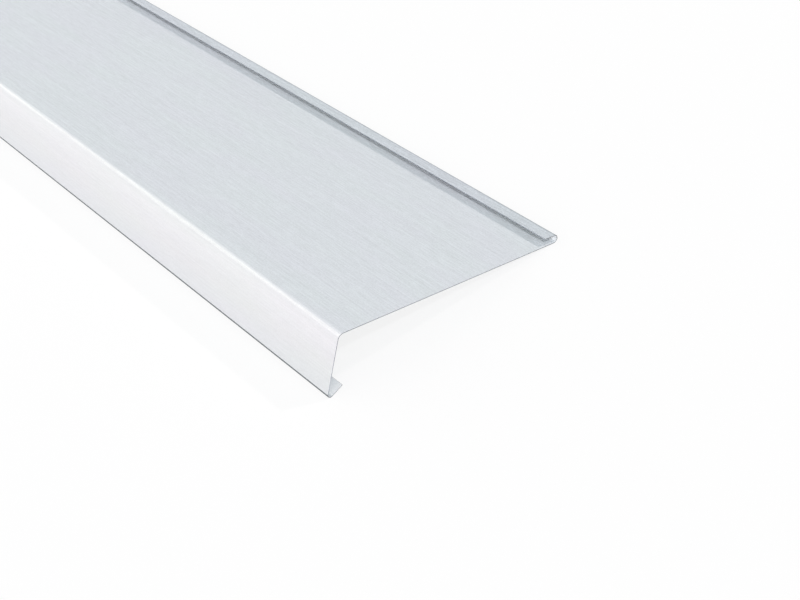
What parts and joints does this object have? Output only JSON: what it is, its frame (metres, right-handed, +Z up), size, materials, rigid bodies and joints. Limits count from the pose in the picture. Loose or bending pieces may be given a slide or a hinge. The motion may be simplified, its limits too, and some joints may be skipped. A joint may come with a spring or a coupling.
{
  "type": "zinc eaves flashing",
  "caption": "Roll-formed zinc eaves flashing: a wide leaf with an open hem along its back edge, a sloping apron in front, and a drip return folded in under the apron.",
  "frame": {"origin": "centre of the part's footprint, on the floor that it stands on", "axes": "+X along the flashing's length; -Y is the side that the apron faces, and the hem lies along +Y; +Z up from the floor that the part stands on, so the leaf slopes down from its front corner to its hem by 13.1 degrees"},
  "size_m": [2, 0.2162, 0.0446],
  "materials": {
    "zinc": "bright-rolled zinc sheet, satin, pale blue-grey, with faint rolling marks along its length"
  },
  "bodies": {
    "root": {"flashing": "zinc"}
  },
  "joints": []
}
